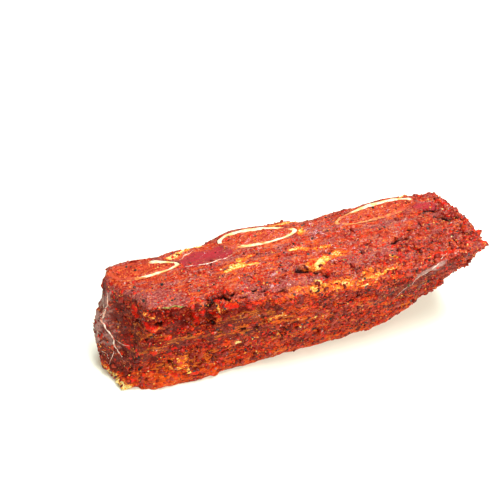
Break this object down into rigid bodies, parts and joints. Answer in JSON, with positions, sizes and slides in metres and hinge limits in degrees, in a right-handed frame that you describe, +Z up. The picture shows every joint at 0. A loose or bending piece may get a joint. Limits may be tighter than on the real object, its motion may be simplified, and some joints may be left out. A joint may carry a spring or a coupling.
{
  "type": "rack of beef short ribs",
  "caption": "Raw cross-cut strip of beef short ribs in a coarse wet spice rub, with oval sawn bone ends showing along one long edge.",
  "frame": {"origin": "on the table under the middle of the strip's box", "axes": "+X along the strip from its narrow end to its broad, raised end; +Y towards the bone side; +Z up, across the thickness of the cut"},
  "size_m": [0.205, 0.0638, 0.0571],
  "materials": {
    "spiced_meat": "raw red meat under a coarse, oily red spice paste, wet sheen",
    "bone": "sawn hard bone, cream white, slightly damp",
    "marrow": "spongy red marrow stained by the spice oil, damp"
  },
  "bodies": {
    "root": {"meat": "spiced_meat", "bone_left": "bone", "bone_middle": "bone", "bone_right": "bone", "marrow_left": "marrow", "marrow_middle": "marrow", "marrow_right": "marrow"}
  },
  "joints": []
}
